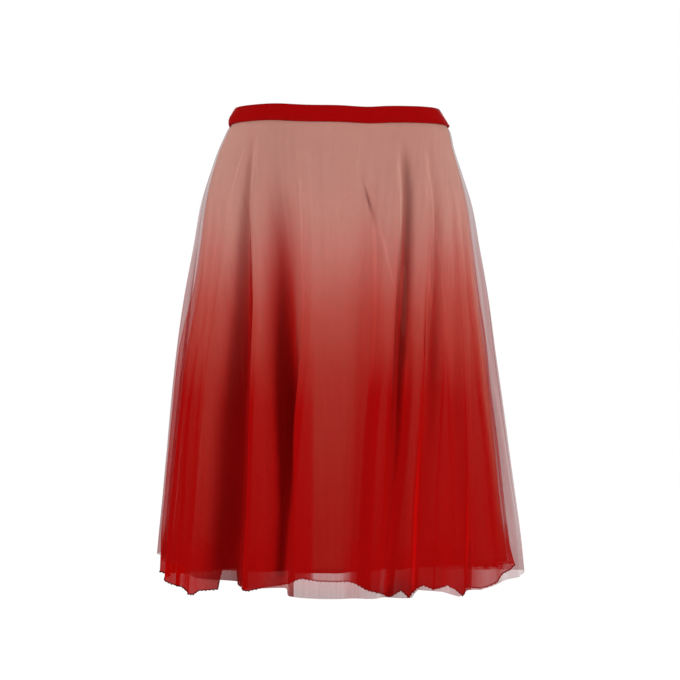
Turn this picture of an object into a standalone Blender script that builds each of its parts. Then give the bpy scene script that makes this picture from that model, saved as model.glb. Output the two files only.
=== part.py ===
# Knee-length a-line skirt: a red waistband over three flared layers, an opaque lining, a dyed net
# with an edged hem and a longer undyed net. Every layer is a front panel and two back panels.
# Metres, +Z up. The origin is the middle of the waist at the seam under the waistband, the front
# faces -Y and the wearer's left is at +X.
import math

import bmesh
import bpy
import numpy as np

# Waistband, by its inner face. It closes at the centre back.
BAND_HEIGHT = 0.021
BAND_THICKNESS = 0.0026
BAND_LOWER = (0.1394, 0.1003)
BAND_UPPER = (0.1266, 0.0913)
BAND_COLUMNS = 84
BAND_ROWS = 2
BAND_END_GAP = 0.0006
SIDE_RISE = 0.004

# Cloth walls and the clearances between pieces.
WALL = 0.001
SEAM_GAP = 0.0005
BAND_CLEARANCE = 0.0008
WAIST_PITCH = 0.0016
FRONT_ROOM_SHARE = 0.6

# Sections of the lining's inner face, through the crests of its folds: height, half width, half
# depth, sideways shift, and the room that the dyed net and the outer net add beyond the waist pitch.
SECTIONS = np.array((
    (0.006, 0.1365, 0.0980, -0.0008, 0.0000, 0.0000),
    (0.000, 0.1386, 0.0995, -0.0010, 0.0000, 0.0000),
    (-0.027, 0.1470, 0.1070, -0.0040, 0.0003, 0.0003),
    (-0.059, 0.1565, 0.1160, -0.0045, 0.0006, 0.0014),
    (-0.091, 0.1635, 0.1225, -0.0045, 0.0010, 0.0041),
    (-0.155, 0.1715, 0.1315, -0.0045, 0.0016, 0.0071),
    (-0.220, 0.1795, 0.1400, -0.0045, 0.0020, 0.0098),
    (-0.284, 0.1885, 0.1490, -0.0045, 0.0045, 0.0071),
    (-0.348, 0.1950, 0.1570, -0.0035, 0.0065, 0.0070),
    (-0.412, 0.2010, 0.1650, -0.0025, 0.0080, 0.0072),
    (-0.477, 0.2070, 0.1730, -0.0020, 0.0085, 0.0072),
    (-0.540, 0.2145, 0.1810, -0.0020, 0.0085, 0.0061),
    (-0.600, 0.2200, 0.1880, -0.0020, 0.0085, 0.0060),
))

# Folds, one row for each trough from the centre back round by the wearer's right side, the front
# and the wearer's left side: angle at the waist, angle at the hem (0 is the centre front, +90 the
# wearer's left), depth at the hem, start below the waist, sharpness, and where the crest after it
# lies on the way to the next trough.
FOLDS = np.array((
    (-170.0, -170.0, 0.024, 0.060, 1.1, 0.50),
    (-152.0, -155.0, 0.027, 0.050, 1.0, 0.50),
    (-134.0, -140.0, 0.022, 0.070, 1.1, 0.50),
    (-117.0, -125.0, 0.020, 0.060, 1.0, 0.50),
    (-102.0, -110.0, 0.019, 0.080, 1.0, 0.50),
    (-78.0, -70.0, 0.017, 0.070, 1.2, 0.50),
    (-61.0, -50.0, 0.016, 0.050, 1.0, 0.50),
    (-44.0, -38.0, 0.024, 0.030, 1.2, 0.50),
    (-23.0, -20.0, 0.034, 0.045, 1.0, 0.42),
    (-9.0, -8.0, 0.002, 0.060, 1.0, 0.50),
    (17.0, 6.0, 0.010, 0.075, 1.5, 0.55),
    (34.0, 17.0, 0.020, 0.040, 1.0, 0.50),
    (48.0, 29.0, 0.016, 0.050, 1.0, 0.50),
    (58.0, 42.0, 0.015, 0.040, 1.0, 0.50),
    (68.0, 57.0, 0.017, 0.070, 1.1, 0.50),
    (80.0, 75.0, 0.017, 0.080, 1.0, 0.50),
    (100.0, 105.0, 0.019, 0.080, 1.0, 0.50),
    (116.0, 121.0, 0.022, 0.060, 1.0, 0.50),
    (134.0, 137.0, 0.024, 0.050, 1.1, 0.50),
    (152.0, 154.0, 0.022, 0.060, 1.0, 0.50),
    (170.0, 170.0, 0.024, 0.060, 1.1, 0.50),
))
FOLD_COUNT = len(FOLDS)
FOLD_EASE = 0.35

# Length of each layer below the waist seam by angle, and the share of the folds' depth it follows.
HEMS = {
    "lining": ((-180, 0.558), (-90, 0.561), (-40, 0.557), (0, 0.553), (45, 0.555), (90, 0.559)),
    "dyed_net": ((-180, 0.574), (-140, 0.579), (-90, 0.580), (-65, 0.587), (-40, 0.577),
                 (-20, 0.570), (0, 0.562), (8, 0.563), (17, 0.577), (24, 0.580), (30, 0.573),
                 (45, 0.577), (62, 0.577), (90, 0.566), (140, 0.572)),
    "outer_net": ((-180, 0.578), (-130, 0.568), (-90, 0.550), (-60, 0.556), (-35, 0.563),
                  (-21, 0.566), (-14, 0.580), (0, 0.583), (45, 0.583), (70, 0.578), (90, 0.572),
                  (130, 0.580)),
}
FOLD_SHARE = {"lining": 1.0, "dyed_net": 0.86, "outer_net": 0.72}

# Panels by the folds that they span, counted along the fold table. The seams lie on crests.
PANELS = {"back_right": (-0.5, 4.5), "front": (4.5, 15.5), "back_left": (15.5, 20.5)}
COLUMNS_PER_FOLD = 6
ROW_LEVELS = (0.0, 0.05, 0.13, 0.27, 0.48, 0.74, 1.0)

# Hook and bar inside the band at the centre back.
HOOK_PLATE = (0.018, 0.0008, 0.0056)
HOOK_OFFSET_X = 0.004
HOOK_EDGE_RADIUS = 0.0003
HOOK_SEAT_GAP = 0.0009
FIT_GAP = 0.0003
BAR_WIRE = 0.0005
BAR_HALF_HEIGHT = 0.0042
BAR_X = -0.003
BAR_WELD = 0.00002

COLOURS = {
    "waistband": ((0.352, 0.0, 0.0, 1.0), 0.55, 0.0),
    "lining": ((0.30, 0.012, 0.008, 1.0), 0.60, 0.0),
    "dyed_net": ((0.42, 0.05, 0.04, 1.0), 0.75, 0.0),
    "outer_net": ((0.47, 0.36, 0.35, 1.0), 0.75, 0.0),
    "hook": ((0.55, 0.55, 0.57, 1.0), 0.30, 1.0),
}


def material(name):
    colour, roughness, metallic = COLOURS[name]
    mat = bpy.data.materials.new(name)
    mat.use_nodes = True
    shader = mat.node_tree.nodes["Principled BSDF"]
    shader.inputs["Base Color"].default_value = colour
    shader.inputs["Roughness"].default_value = roughness
    shader.inputs["Metallic"].default_value = metallic
    mat.diffuse_color = colour
    return mat


def section(height, column):
    """One column of the section table at a height, smoothly between its rows."""
    rows = SECTIONS[::-1]
    heights, values = rows[:, 0], rows[:, column]
    slopes = np.gradient(values, heights)
    i = np.clip(np.searchsorted(heights, height) - 1, 0, len(heights) - 2)
    step = heights[i + 1] - heights[i]
    t = np.clip((height - heights[i]) / step, 0.0, 1.0)
    return ((1 + 2 * t) * (1 - t) ** 2 * values[i] + t * (1 - t) ** 2 * step * slopes[i]
            + t * t * (3 - 2 * t) * values[i + 1] - t * t * (1 - t) * step * slopes[i + 1])


def fold_angle(place, level):
    """Angle round the waist, in degrees, of a place counted in folds at a level from 0 to 1."""
    before = math.floor(place)
    along = place - before
    turns = before // FOLD_COUNT
    row = FOLDS[before % FOLD_COUNT]
    after = FOLDS[(before + 1) % FOLD_COUNT]
    wrap = 360.0 if (before + 1) % FOLD_COUNT == 0 else 0.0
    crest = row[5]
    share = along * 2 * crest if along < 0.5 else crest + (along - 0.5) * 2 * (1 - crest)
    at_waist = row[0] + (after[0] + wrap - row[0]) * share
    at_hem = row[1] + (after[1] + wrap - row[1]) * share
    return 360.0 * turns + at_waist + (at_hem - at_waist) * level


def fold_depth(place, drop, length):
    """Depth of the trough at a place and a drop below the waist seam."""
    nearest = round(place)
    row = FOLDS[nearest % FOLD_COUNT]
    shape = (0.5 + 0.5 * math.cos(2 * math.pi * (place - nearest))) ** row[4]
    growth = max(0.0, (drop - row[3]) / (length - row[3]))
    return row[2] * shape * growth * (FOLD_EASE + (1 - FOLD_EASE) * growth)


def hem_length(layer, angle):
    angles, lengths = zip(*HEMS[layer])
    return float(np.interp(angle, angles, lengths, period=360.0))


def layer_point(layer, place, level, nudge):
    """A point of a layer's inner face; nudge moves it round the waist, in metres."""
    angle = fold_angle(place, level)
    length = hem_length(layer, angle)
    turn = math.radians(angle)
    rise = SIDE_RISE * math.sin(turn) ** 2
    top = rise - BAND_CLEARANCE
    height = top + (-length - top) * level
    width, depth, shift = (float(section(height, column)) for column in (1, 2, 3))
    share = FRONT_ROOM_SHARE + (1 - FRONT_ROOM_SHARE) * math.sin(turn) ** 2
    room = 0.0
    if layer != "lining":
        room += WAIST_PITCH + share * float(section(height, 4))
    if layer == "outer_net":
        room += WAIST_PITCH + share * float(section(height, 5))
    trough = FOLD_SHARE[layer] * fold_depth(place, -height, length)
    turn += nudge / (width + room)
    return (shift + (width + room - trough) * math.sin(turn),
            -(depth + room - trough) * math.cos(turn), height)


def add_object(name, bm, mat, collection):
    mesh = bpy.data.meshes.new(name)
    bm.to_mesh(mesh)
    bm.free()
    mesh.shade_smooth()
    mesh.materials.append(mat)
    obj = bpy.data.objects.new(name, mesh)
    collection.objects.link(obj)
    return obj


def add_wall(obj, thickness):
    """The shaped sheet is the inner face, and the wall grows outwards from it."""
    wall = obj.modifiers.new("Wall", "SOLIDIFY")
    wall.thickness = thickness
    wall.offset = 1.0
    wall.use_even_offset = True


def shaped_sheet(columns, rows, place_point):
    """A grid whose vertices are moved to place_point(column, row), its faces looking outwards."""
    bm = bmesh.new()
    bmesh.ops.create_grid(bm, x_segments=columns, y_segments=rows, size=1.0)
    for vert in bm.verts:
        column = round((vert.co.x + 1.0) * 0.5 * columns)
        row = round((1.0 - vert.co.y) * 0.5 * rows)
        vert.co = place_point(column, row)
    bm.normal_update()
    bm.faces.ensure_lookup_table()
    face = bm.faces[0]
    centre = face.calc_center_median()
    if face.normal.x * centre.x + face.normal.y * centre.y < 0.0:
        bmesh.ops.reverse_faces(bm, faces=bm.faces)
    return bm


def make_panel(layer, panel, mat, collection):
    start, end = PANELS[panel]
    columns = round((end - start) * COLUMNS_PER_FOLD)
    rows = len(ROW_LEVELS) - 1

    def place_point(column, row):
        place = start + (end - start) * column / columns
        nudge = 0.0
        if column == 0:
            nudge = SEAM_GAP / 2
        if column == columns:
            nudge = -SEAM_GAP / 2
        return layer_point(layer, place, ROW_LEVELS[row], nudge)

    obj = add_object(layer + "_" + panel, shaped_sheet(columns, rows, place_point), mat, collection)
    add_wall(obj, WALL)
    return obj


def make_waistband(mat, collection):
    end_angle = BAND_END_GAP / 2 / BAND_LOWER[1]

    def place_point(column, row):
        turn = -math.pi + end_angle + 2 * (math.pi - end_angle) * column / BAND_COLUMNS
        level = row / BAND_ROWS
        width = BAND_UPPER[0] + (BAND_LOWER[0] - BAND_UPPER[0]) * level
        depth = BAND_UPPER[1] + (BAND_LOWER[1] - BAND_UPPER[1]) * level
        height = BAND_HEIGHT * (1 - level) + SIDE_RISE * math.sin(turn) ** 2
        return width * math.sin(turn), -depth * math.cos(turn), height

    band = add_object("waistband", shaped_sheet(BAND_COLUMNS, BAND_ROWS, place_point), mat,
                      collection)
    add_wall(band, BAND_THICKNESS)
    return band


def make_closure(mat, collection):
    """Flat hook and wire bar on the band's inner face, across its closed ends."""
    lean = math.atan2(BAND_LOWER[1] - BAND_UPPER[1], BAND_HEIGHT)
    seat = bpy.data.objects.new("closure_seat", None)
    seat.location = (0.0, (BAND_LOWER[1] + BAND_UPPER[1]) / 2, BAND_HEIGHT / 2)
    seat.rotation_euler = (lean, 0.0, 0.0)
    collection.objects.link(seat)

    bm = bmesh.new()
    bmesh.ops.create_cube(bm, size=1.0)
    bmesh.ops.scale(bm, vec=HOOK_PLATE, verts=bm.verts)
    hook = add_object("waist_hook", bm, mat, collection)
    hook.parent = seat
    hook.location = (HOOK_OFFSET_X, -HOOK_SEAT_GAP - HOOK_PLATE[1] / 2, 0.0)
    edges = hook.modifiers.new("Edges", "BEVEL")
    edges.width = HOOK_EDGE_RADIUS
    edges.segments = 1

    stand = HOOK_SEAT_GAP + HOOK_PLATE[1] + FIT_GAP + BAR_WIRE
    foot = HOOK_SEAT_GAP
    path = bpy.data.curves.new("waist_bar", "CURVE")
    path.dimensions = "3D"
    path.bevel_depth = BAR_WIRE
    path.bevel_resolution = 1
    path.use_fill_caps = True
    line = path.splines.new("POLY")
    line.points.add(3)
    for point, co in zip(line.points, ((-foot, -1), (-stand, -1), (-stand, 1), (-foot, 1))):
        point.co = (0.0, co[0], co[1] * BAR_HALF_HEIGHT, 1.0)
    bar = bpy.data.objects.new("waist_bar", path)
    bar.parent = seat
    bar.location = (BAR_X, 0.0, 0.0)
    path.materials.append(mat)
    weld = bar.modifiers.new("Caps", "WELD")
    weld.merge_threshold = BAR_WELD
    collection.objects.link(bar)


def main():
    for obj in list(bpy.data.objects):
        bpy.data.objects.remove(obj)
    collection = bpy.data.collections.new("a_line_skirt")
    bpy.context.scene.collection.children.link(collection)
    make_waistband(material("waistband"), collection)
    for layer in HEMS:
        mat = material(layer)
        for panel in PANELS:
            make_panel(layer, panel, mat, collection)
    make_closure(material("hook"), collection)


main()
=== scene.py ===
import math

import bmesh
import bpy
import numpy as np
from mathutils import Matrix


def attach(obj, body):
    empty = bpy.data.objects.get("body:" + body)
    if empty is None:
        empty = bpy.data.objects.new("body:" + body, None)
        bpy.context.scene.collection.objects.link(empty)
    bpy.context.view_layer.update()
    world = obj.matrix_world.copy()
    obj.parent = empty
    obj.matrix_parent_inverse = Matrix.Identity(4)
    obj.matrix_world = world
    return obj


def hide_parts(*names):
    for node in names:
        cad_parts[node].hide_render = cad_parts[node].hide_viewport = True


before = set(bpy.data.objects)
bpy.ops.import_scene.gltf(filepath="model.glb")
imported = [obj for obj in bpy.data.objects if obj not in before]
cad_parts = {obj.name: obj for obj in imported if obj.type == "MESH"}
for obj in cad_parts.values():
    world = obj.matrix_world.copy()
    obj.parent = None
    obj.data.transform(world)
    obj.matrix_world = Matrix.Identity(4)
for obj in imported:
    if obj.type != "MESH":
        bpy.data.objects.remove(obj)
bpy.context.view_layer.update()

# The skirt's form, the same as the solids': metres, +Z up, front at -Y, z = 0 at the waist seam.
# Sections: height, half width, half depth, sideways shift, room for the dyed net, room for the outer net.
formSections = np.array((
    (0.006, 0.1365, 0.0980, -0.0008, 0.0000, 0.0000),
    (0.000, 0.1386, 0.0995, -0.0010, 0.0000, 0.0000),
    (-0.027, 0.1470, 0.1070, -0.0040, 0.0003, 0.0003),
    (-0.059, 0.1565, 0.1160, -0.0045, 0.0006, 0.0014),
    (-0.091, 0.1635, 0.1225, -0.0045, 0.0010, 0.0041),
    (-0.155, 0.1715, 0.1315, -0.0045, 0.0016, 0.0071),
    (-0.220, 0.1795, 0.1400, -0.0045, 0.0020, 0.0098),
    (-0.284, 0.1885, 0.1490, -0.0045, 0.0045, 0.0071),
    (-0.348, 0.1950, 0.1570, -0.0035, 0.0065, 0.0070),
    (-0.412, 0.2010, 0.1650, -0.0025, 0.0080, 0.0072),
    (-0.477, 0.2070, 0.1730, -0.0020, 0.0085, 0.0072),
    (-0.540, 0.2145, 0.1810, -0.0020, 0.0085, 0.0061),
    (-0.600, 0.2200, 0.1880, -0.0020, 0.0085, 0.0060),
))[::-1]

# Flutes, all round from the centre back. Path is the trough's angle at even steps from waist to hem
# (0 is the centre front), deep is how far it goes in halfway down and at the hem, grow is the stretch
# over which it comes in (0 is the waist, 1 the hem), narrow is how tight it is at the top and at the
# hem, pile is how many more plies of the outer net bunch up in it, crest is where the rise after it
# lies, as a share of the way to the next, tuck is an extra depth near the waist, and after, below 1,
# makes the trough's second side wider.
flutes = (
    {"path": (-170, -170), "deep": (0.026, 0.026), "grow": (0.07, 0.61), "narrow": (1.1, 1.1), "pile": 0.8},
    {"path": (-152, -155), "deep": (0.029, 0.029), "grow": (0.06, 0.60), "narrow": (1.0, 1.0), "pile": 0.9},
    {"path": (-134, -140), "deep": (0.024, 0.024), "grow": (0.09, 0.63), "narrow": (1.1, 1.1), "pile": 0.8},
    {"path": (-117, -125), "deep": (0.022, 0.022), "grow": (0.07, 0.61), "narrow": (1.0, 1.0), "pile": 0.8},
    {"path": (-102, -108), "deep": (0.018, 0.020), "grow": (0.10, 0.64), "narrow": (1.0, 1.0), "pile": 0.5},
    {"path": (-81, -80), "deep": (0.012, 0.014), "grow": (0.07, 0.61), "narrow": (1.0, 1.0), "pile": 0.3},
    {"path": (-62, -64), "deep": (0.010, 0.014), "grow": (0.07, 0.61), "narrow": (1.0, 1.0), "pile": 0.3,
     "crest": (0.80, 0.66, 0.45, 0.40, 0.42, 0.46, 0.48)},
    {"path": (-46.2, -41.6, -38.8, -36.8, -39.4, -39.6, -39.3), "deep": (0.045, 0.050),
     "grow": (0.03, 0.72), "narrow": (2.4, 1.8), "pile": 2.2,
     "crest": (0.30, 0.34, 0.33, 0.33, 0.46, 0.50, 0.52), "tuck": 0.004, "after": 0.75},
    {"path": (-31.0, -26.5, -20.6, -18.4, -17.4, -17.4, -18.2), "deep": (0.058, 0.030),
     "grow": (0.03, 0.74), "narrow": (1.05, 2.0), "pile": 2.6,
     "crest": (0.16, 0.52, 0.52, 0.45, 0.26, 0.28, 0.32), "tuck": 0.004, "after": 0.55},
    {"path": (-6, -5), "deep": (0.003, 0.003), "grow": (0.09, 0.63), "narrow": (1.0, 1.0), "pile": 0.0},
    {"path": (9.5, 13.6, 12.9, 10.9, 7.8, 5.9, 4.5), "deep": (0.009, 0.010), "grow": (0.09, 0.63),
     "narrow": (1.2, 1.2), "pile": 0.6, "crest": (0.56, 0.45, 0.43, 0.50, 0.51, 0.53, 0.54)},
    {"path": (34.8, 32.6, 29.4, 25.2, 21.7, 18.2, 15.3), "deep": (0.027, 0.018), "grow": (0.02, 0.52),
     "narrow": (2.6, 1.1), "pile": 1.1, "crest": (0.55, 0.54, 0.48, 0.51, 0.52, 0.60, 0.55),
     "tuck": 0.010},
    {"path": (51.5, 47.6, 43.5, 38.4, 33.5, 27.8, 25.4), "deep": (0.015, 0.009), "grow": (0.03, 0.52),
     "narrow": (2.2, 1.1), "pile": 0.7, "crest": (0.70, 0.66, 0.55, 0.56, 0.51, 0.47, 0.47),
     "tuck": 0.003},
    {"path": (60.5, 57.5, 53.2, 49.4, 46.2, 43.3, 38.8), "deep": (0.006, 0.003), "grow": (0.07, 0.61),
     "narrow": (1.0, 1.0), "pile": 0.4},
    {"path": (71.2, 64.7, 61.5, 57.7, 53.4, 49.7, 47.0), "deep": (0.007, 0.004), "grow": (0.09, 0.63),
     "narrow": (1.1, 1.1), "pile": 0.2, "crest": (0.37, 0.37)},
    {"path": (79, 76, 72, 70, 69, 68, 68), "deep": (0.007, 0.006), "grow": (0.10, 0.64),
     "narrow": (1.0, 1.0), "pile": 0.1},
    {"path": (100, 105), "deep": (0.018, 0.021), "grow": (0.10, 0.64), "narrow": (1.0, 1.0), "pile": 0.5},
    {"path": (116, 121), "deep": (0.024, 0.024), "grow": (0.07, 0.61), "narrow": (1.0, 1.0), "pile": 0.8},
    {"path": (134, 137), "deep": (0.026, 0.026), "grow": (0.06, 0.60), "narrow": (1.1, 1.1), "pile": 0.8},
    {"path": (152, 154), "deep": (0.024, 0.024), "grow": (0.07, 0.61), "narrow": (1.0, 1.0), "pile": 0.8},
    {"path": (170, 170), "deep": (0.026, 0.026), "grow": (0.07, 0.61), "narrow": (1.1, 1.1), "pile": 0.8},
)
evenCrest = (0.5, 0.5)
fluteSizes = np.array([(*flute["deep"], *flute["grow"], *flute["narrow"], flute["pile"],
                        flute.get("tuck", 0.0), flute.get("after", 1.0)) for flute in flutes])

# How the cloth hangs on the form, in metres: step is from layer to layer, sewnIn is under the band and
# fall is the usual length. FrontRoom and seamRoom are the shares of a layer's room that are left at the
# front and at the seam. Pairs say where an effect comes in, as drops in metres for seamOpens, ripples,
# gathers, gathersLow and piles, and as shares of the way to the hem for the rest.
hang = {
    "step": 0.0016, "sewnIn": 0.004, "fall": 0.57, "frontRoom": 0.6, "seamRoom": 0.5,
    "seamOpens": (-0.001, 0.008), "deepens": (0.58, 0.92), "narrows": (0.40, 0.75),
    "tucks": (0.02, 0.13), "untucks": (0.13, 0.45), "ripples": (0.01, 0.22), "gathers": (0.02, 0.24),
    "gathersLow": (0.24, 0.40), "gathersHem": (0.89, 0.965), "piles": (0.04, 0.30),
    "pilesThin": (0.62, 0.92), "thinner": 0.5, "creaseHighlightShadeIn": 0.05, "creaseHighlightShadeOut": 0.08,
}
rippleWaves = (
    {"size": 1.0, "round": 9.0, "down": 5.0, "from": 0.0, "beats": 0.0},
    {"size": 0.8, "round": 23.0, "down": -6.0, "from": 1.3, "beats": 0.0},
    {"size": 0.45, "round": 43.0, "down": 4.0, "from": 0.4, "beats": 1.0},
)
rippleFan = {"spread": 0.25, "until": 0.6, "beat": 7.0, "beatFrom": 2.0}

# Maps in metres: the flat cut is a fan round a point above the waist, and the place runs round the
# skirt or the band at these radii.
maps = {"cutTurn": 0.42, "cutTop": 0.30, "cutLength": 0.58, "cutWiden": 1.05,
        "skirtRadius": 0.21, "bandRadius": 0.13}

bandShape = {"height": 0.021, "thickness": 0.0026, "lower": (0.1394, 0.1003), "upper": (0.1266, 0.0913),
             "sideRise": 0.004, "endGap": 0.0004, "edge": 0.0006, "columns": 300, "rows": 6,
             "bulge": 0.0058, "bulgeFull": 0.5, "bulgeFocus": 6,
             "wave": ((-180, 0.0), (-90, -0.0006), (-75, 0.0006), (-60, 0.0016), (-37, 0.0026),
                      (-20, 0.0008), (0, 0.0), (16, -0.0019), (28, -0.0008), (45, -0.0006),
                      (70, -0.0012), (90, -0.0022), (180, 0.0))}

panels = {
    "BackRight": {"span": (-180.0, -90.0), "node": "_back_right", "cut": "Back"},
    "Front": {"span": (-90.0, 90.0), "node": "_front", "cut": "Front"},
    "BackLeft": {"span": (90.0, 180.0), "node": "_back_left", "cut": "Back"},
}

# Layers from the inside out. Share is how much of each trough a layer follows, room how many layers lie
# under it, raise a little more clearance, and hem the length from the seam at angles all round.
# Laps are soft folds that lie over themselves: the path of the fold's middle, where it starts below
# the waist, the length over which it grows, its half width in degrees, how far the plies pass each
# other, lift, and the side on top. Gather is how many plies the cloth bunches up to: flute number, then
# halfway down, low down and at the hem. Creases are fold lines that add plies and carry painted light,
# from one level to another: a positive tone lightens the net's colour as a painted highlight, a
# negative one darkens it as a painted shadow. Pushes are places where a layer swings out or in: the
# angle, how far it spreads, the drops over which it comes and goes, how much of it goes, its share of
# the outer net's room, and metres.
liningLayer = {
    "node": "lining", "share": 1.0, "room": 0, "raise": 0.0, "columns": 2.4, "rows": 86,
    "hem": ((-180, 0.558), (-120, 0.556), (-90, 0.550), (-67, 0.549), (-52, 0.5545), (-22, 0.5535),
            (1, 0.5535), (21, 0.550), (36, 0.5475), (55, 0.5505), (82, 0.5538), (120, 0.556)),
    "ripple": 0.0005, "gather": ((0, 1.0, 1.0, 1.0), (21, 1.0, 1.0, 1.0)), "pushes": (), "creaseHighlightsShades": (),
    "laps": (
        {"path": (-42.1, -38.2, -34.4, -32.1, -31.9, -32.3, -32.6),
         "start": 0.12, "reach": 0.20, "half": 4.0, "over": 0.8, "lift": 0.0012, "top": -1},
        {"path": (-26.5, -13.6, -11.8, -11.3, -13.6, -15.4, -14.8),
         "start": 0.08, "reach": 0.16, "half": 4.0, "over": 0.9, "lift": 0.0014, "top": -1},
    ),
}
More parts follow.
